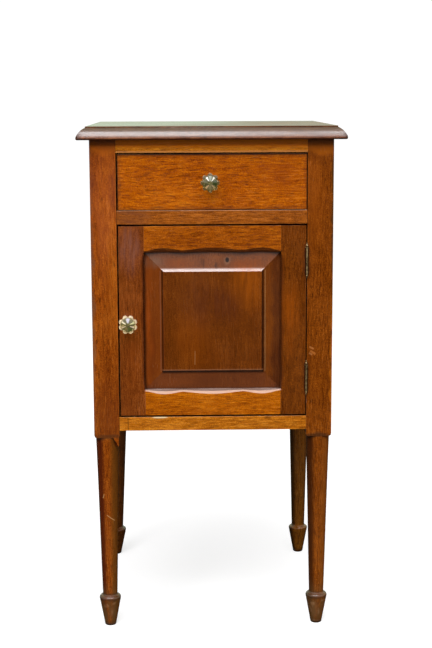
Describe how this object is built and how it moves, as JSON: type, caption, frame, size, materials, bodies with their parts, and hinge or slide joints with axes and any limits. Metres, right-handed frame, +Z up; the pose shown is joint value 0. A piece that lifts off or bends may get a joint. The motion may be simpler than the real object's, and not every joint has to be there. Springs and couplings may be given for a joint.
{
  "type": "bedside cupboard",
  "caption": "Bedside pot cupboard: a moulded top over a drawer and a hinged panelled door, in a square box on four turned legs with spear feet, with faceted glass knobs.",
  "frame": {"origin": "on the floor under the middle of the cupboard's overall box", "axes": "+Z up, +X to the right of someone facing the door, +Y from the door to the back"},
  "size_m": [0.3944, 0.4066, 0.765],
  "materials": {
    "polished_mahogany": "satin shellac polish",
    "dark_mahogany": "dark satin shellac polish",
    "red_mahogany": "satin shellac polish",
    "golden_mahogany": "satin shellac polish",
    "bare_pine": "bare, aged",
    "brass": "dull, tarnished",
    "iron": "dull",
    "pressed_glass": "clear, moulded facets"
  },
  "bodies": {
    "carcass": {"top_board": "dark_mahogany", "leg_front_left": "polished_mahogany", "leg_front_right": "polished_mahogany", "leg_back_left": "polished_mahogany", "leg_back_right": "polished_mahogany", "front_top_rail": "golden_mahogany", "drawer_rail": "polished_mahogany", "front_bottom_rail": "golden_mahogany", "back_top_rail": "bare_pine", "back_bottom_rail": "bare_pine", "side_board_left": "polished_mahogany", "side_board_right": "polished_mahogany", "back_board": "bare_pine", "cupboard_floor": "bare_pine", "floor_bearer_left": "bare_pine", "floor_bearer_right": "bare_pine", "drawer_runner_left": "bare_pine", "drawer_runner_right": "bare_pine", "drawer_guide_left": "bare_pine", "drawer_guide_right": "bare_pine", "drawer_kicker_left": "bare_pine", "drawer_kicker_right": "bare_pine", "dust_board": "bare_pine", "drawer_stops": "bare_pine", "door_stops": "bare_pine", "top_screws": "iron", "back_nails": "iron", "hinge_leaf_leg_upper": "brass", "hinge_leaf_leg_lower": "brass", "hinge_pin_upper": "brass", "hinge_pin_lower": "brass", "hinge_leg_screws": "brass", "catch_plate": "brass", "catch_plate_nails": "brass"},
    "drawer": {"drawer_front": "golden_mahogany", "drawer_side_left": "bare_pine", "drawer_side_right": "bare_pine", "drawer_back": "bare_pine", "drawer_bottom": "bare_pine", "drawer_bottom_nails": "iron", "drawer_knob_glass": "pressed_glass", "drawer_knob_collar": "brass", "drawer_knob_bolt": "brass", "drawer_knob_nut": "brass"},
    "door": {"door_stile_left": "red_mahogany", "door_stile_right": "red_mahogany", "door_rail_top": "golden_mahogany", "door_rail_bottom": "golden_mahogany", "door_panel": "red_mahogany", "hinge_leaf_door_upper": "brass", "hinge_leaf_door_lower": "brass", "hinge_door_screws": "brass", "door_knob_collar": "brass"},
    "door_turn": {"door_knob_glass": "pressed_glass", "door_knob_bolt": "brass", "door_knob_tongue": "brass", "door_knob_nut": "brass"}
  },
  "joints": [
    {"name": "drawer_slide", "type": "slide", "parent": "carcass", "child": "drawer", "axis": [0, -1, 0], "range_m": [0, 0.24]},
    {"name": "door_hinge", "type": "hinge", "parent": "carcass", "child": "door", "pos_m": [0.1397, -0.18055, 0.4773], "axis": [0, 0, 1], "range_deg": [0, 175]},
    {"name": "door_knob_turn", "type": "hinge", "parent": "door", "child": "door_turn", "pos_m": [-0.1249, -0.17725, 0.476], "axis": [0, 1, 0], "range_deg": [0, 90]}
  ]
}
